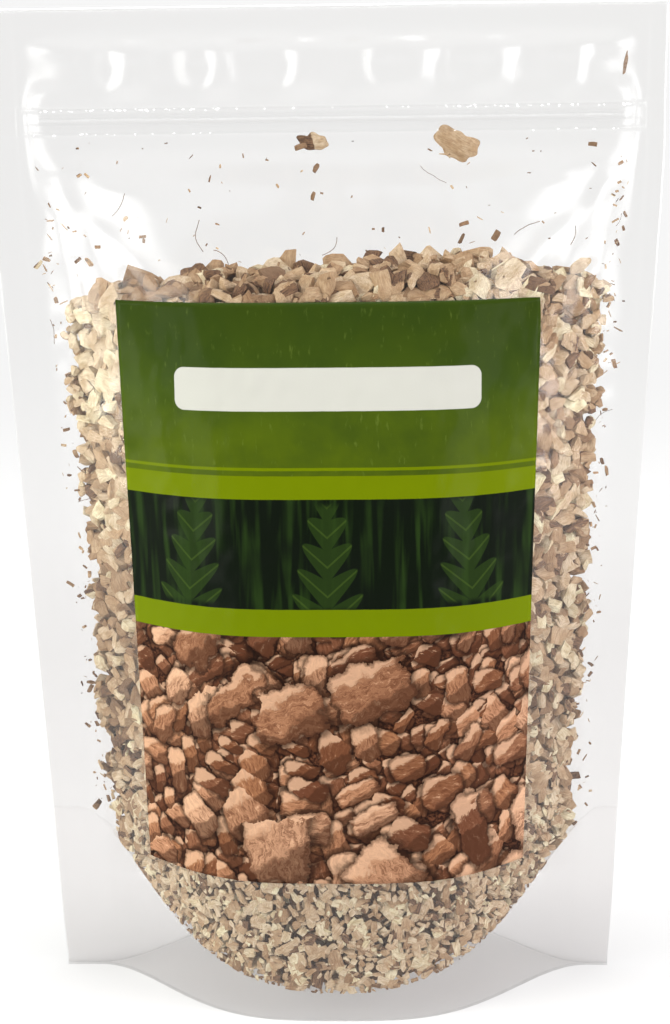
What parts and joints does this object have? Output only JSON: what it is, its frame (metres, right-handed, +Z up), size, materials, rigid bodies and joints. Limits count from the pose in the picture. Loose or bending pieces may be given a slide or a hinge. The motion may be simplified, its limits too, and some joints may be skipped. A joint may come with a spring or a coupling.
{
  "type": "stand-up pouch of cut sweet flag root",
  "caption": "Clear stand-up pouch with a press zip and a bottom gusset, sealed and filled with cut dried sweet flag root, with a plain label on its front.",
  "frame": {"origin": "on the floor, at the centre of the pouch's outer box", "axes": "+Z up, the label faces -Y, +X to the right as one reads the label"},
  "size_m": [0.16, 0.066, 0.24],
  "materials": {
    "clear_film": "clear gloss laminate",
    "zip_plastic": "translucent",
    "label_print": "gloss laminated print",
    "root_cream": "dry, rough cut",
    "root_tan": "dry, rough cut",
    "root_bark": "dry bark"
  },
  "bodies": {
    "root": {"front_film": "clear_film", "back_film": "clear_film", "bottom_gusset": "clear_film", "zip_front": "zip_plastic", "zip_back": "zip_plastic", "label": "label_print", "root_fill": "root_cream", "chip_by_zip_left": "root_bark", "chip_by_zip_right": "root_tan", "top_chip_01": "root_tan", "top_chip_02": "root_cream", "top_chip_03": "root_tan", "top_chip_04": "root_bark", "top_chip_05": "root_cream", "top_chip_06": "root_tan", "top_chip_07": "root_cream", "top_chip_08": "root_tan", "top_chip_09": "root_bark", "top_chip_10": "root_cream", "top_chip_11": "root_tan", "top_chip_12": "root_cream", "top_chip_13": "root_tan", "top_chip_14": "root_bark", "top_chip_15": "root_cream", "top_chip_16": "root_tan", "top_chip_17": "root_cream", "top_chip_18": "root_tan", "top_chip_19": "root_bark", "top_chip_20": "root_cream", "top_chip_21": "root_tan", "top_chip_22": "root_cream", "top_chip_23": "root_tan", "top_chip_24": "root_bark", "top_chip_25": "root_cream", "top_chip_26": "root_tan", "top_chip_27": "root_cream", "top_chip_28": "root_tan", "top_chip_29": "root_bark", "top_chip_30": "root_cream", "top_chip_31": "root_tan", "top_chip_32": "root_cream", "top_chip_33": "root_tan", "top_chip_34": "root_bark", "top_chip_35": "root_cream", "top_chip_36": "root_tan", "top_chip_37": "root_cream", "top_chip_38": "root_tan", "top_chip_39": "root_bark", "top_chip_40": "root_cream"}
  },
  "joints": []
}
